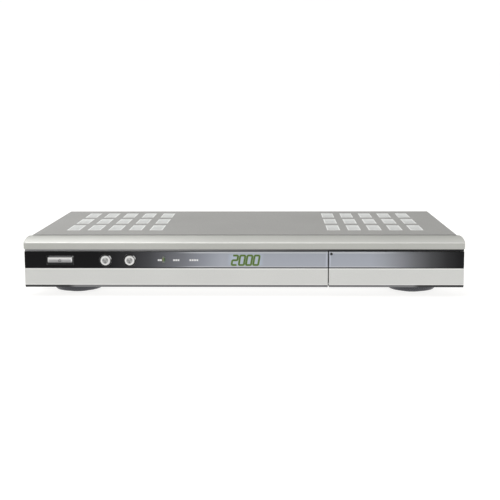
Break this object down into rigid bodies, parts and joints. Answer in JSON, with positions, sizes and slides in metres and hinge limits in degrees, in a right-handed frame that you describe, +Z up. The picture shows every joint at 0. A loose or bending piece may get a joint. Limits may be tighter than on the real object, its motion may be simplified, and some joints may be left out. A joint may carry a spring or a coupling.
{
  "type": "satellite tv receiver",
  "caption": "Slim desktop set-top receiver with a silver front, smoked display strip, push buttons, a drop-down card flap and rear sockets.",
  "frame": {"origin": "on the table, under the middle of the receiver's box", "axes": "+X to the right as seen from the front, +Y from the front to the rear, +Z up"},
  "size_m": [0.43, 0.228, 0.059],
  "materials": {
    "black_plastic": "matt",
    "board_brown": "phenolic paper",
    "board_green": "solder mask over glass fibre",
    "brass_pins": "plain",
    "button_silver": "silver lacquer",
    "cable_grey": "flat PVC cable",
    "capacitor_sleeve": "shrink sleeve",
    "copper_winding": "enamelled wire on a ferrite ring",
    "cover_paint": "fine textured grey paint",
    "display_plastic": "dark filter",
    "ejector_grey": "moulded nylon",
    "ferrite": "ferrite with taped winding",
    "foot_plastic": "polished",
    "fuse_glass": "clear tube in plated clips",
    "galvanised_steel": "galvanised",
    "gloss_black": "polished",
    "grille_plastic": "light moulding",
    "header_white": "moulded nylon",
    "heatsink_aluminium": "extruded",
    "light_guide": "clear green",
    "lit_green": "lit segments",
    "nickel": "nickel plated",
    "rubber_black": "matt",
    "screw_steel": "zinc plated",
    "silver_plastic": "satin silver lacquer",
    "smoked_acrylic": "polished, printed from behind",
    "tinned_steel": "tinned"
  },
  "bodies": {
    "receiver": {"front_bezel": "silver_plastic", "front_fascia": "silver_plastic", "display_window": "smoked_acrylic", "door_catch": "black_plastic", "button_rings": "gloss_black", "switch_bodies": "black_plastic", "power_light_guide": "light_guide", "display_module": "display_plastic", "display_segments": "lit_green", "infrared_receiver": "black_plastic", "front_board": "board_green", "chassis_tray": "galvanised_steel", "top_cover": "cover_paint", "vent_grilles": "grille_plastic", "rear_panel": "galvanised_steel", "cover_screws": "screw_steel", "feet": "foot_plastic", "foot_pads": "rubber_black", "foot_screws": "screw_steel", "main_board": "board_green", "psu_board": "board_brown", "board_screws": "screw_steel", "tuner_can": "tinned_steel", "lnb_input": "nickel", "lnb_loop_output": "nickel", "connector_nuts": "nickel", "scart_tv": "black_plastic", "scart_recorder": "black_plastic", "rca_block": "black_plastic", "rca_sleeves": "nickel", "serial_port": "tinned_steel", "mains_inlet": "black_plastic", "mains_inlet_pins": "brass_pins", "mains_switch_body": "black_plastic", "primary_capacitor": "capacitor_sleeve", "transformer": "ferrite", "psu_heatsink": "heatsink_aluminium", "line_filter": "copper_winding", "fuse": "fuse_glass", "board_chips": "black_plastic", "processor_heatsink": "heatsink_aluminium", "small_capacitors": "capacitor_sleeve", "cable_headers": "header_white", "ribbon_cable": "cable_grey", "power_cable": "cable_grey", "ci_cage": "tinned_steel", "ci_pin_headers": "black_plastic", "ejector_guide": "black_plastic"},
    "card_door": {"card_door": "silver_plastic", "card_door_window": "smoked_acrylic"},
    "standby_button": {"standby_button": "button_silver", "standby_switch_stem": "black_plastic"},
    "channel_down_button": {"channel_down_button": "button_silver", "channel_down_switch_stem": "black_plastic"},
    "channel_up_button": {"channel_up_button": "button_silver", "channel_up_switch_stem": "black_plastic"},
    "mains_rocker": {"mains_rocker": "black_plastic"},
    "eject_button_lower": {"eject_button_lower": "ejector_grey"},
    "eject_button_upper": {"eject_button_upper": "ejector_grey"}
  },
  "joints": [
    {"name": "door_hinge", "type": "hinge", "parent": "receiver", "child": "card_door", "pos_m": [0.1488, -0.1046, 0.0127], "axis": [1, 0, 0], "range_deg": [0, 90]},
    {"name": "standby_button_press", "type": "slide", "parent": "receiver", "child": "standby_button", "axis": [0, 1, 0], "range_m": [0, 0.0008], "stiffness_N_per_m": 1500},
    {"name": "channel_down_button_press", "type": "slide", "parent": "receiver", "child": "channel_down_button", "axis": [0, 1, 0], "range_m": [0, 0.0008], "stiffness_N_per_m": 1500},
    {"name": "channel_up_button_press", "type": "slide", "parent": "receiver", "child": "channel_up_button", "axis": [0, 1, 0], "range_m": [0, 0.0008], "stiffness_N_per_m": 1500},
    {"name": "mains_rocker_tilt", "type": "hinge", "parent": "receiver", "child": "mains_rocker", "pos_m": [-0.1483, 0.0996, 0.0296], "axis": [1, 0, 0], "range_deg": [0, 24]},
    {"name": "eject_lower_push", "type": "slide", "parent": "receiver", "child": "eject_button_lower", "axis": [0, 1, 0], "range_m": [0, 0.004]},
    {"name": "eject_upper_push", "type": "slide", "parent": "receiver", "child": "eject_button_upper", "axis": [0, 1, 0], "range_m": [0, 0.004]}
  ]
}
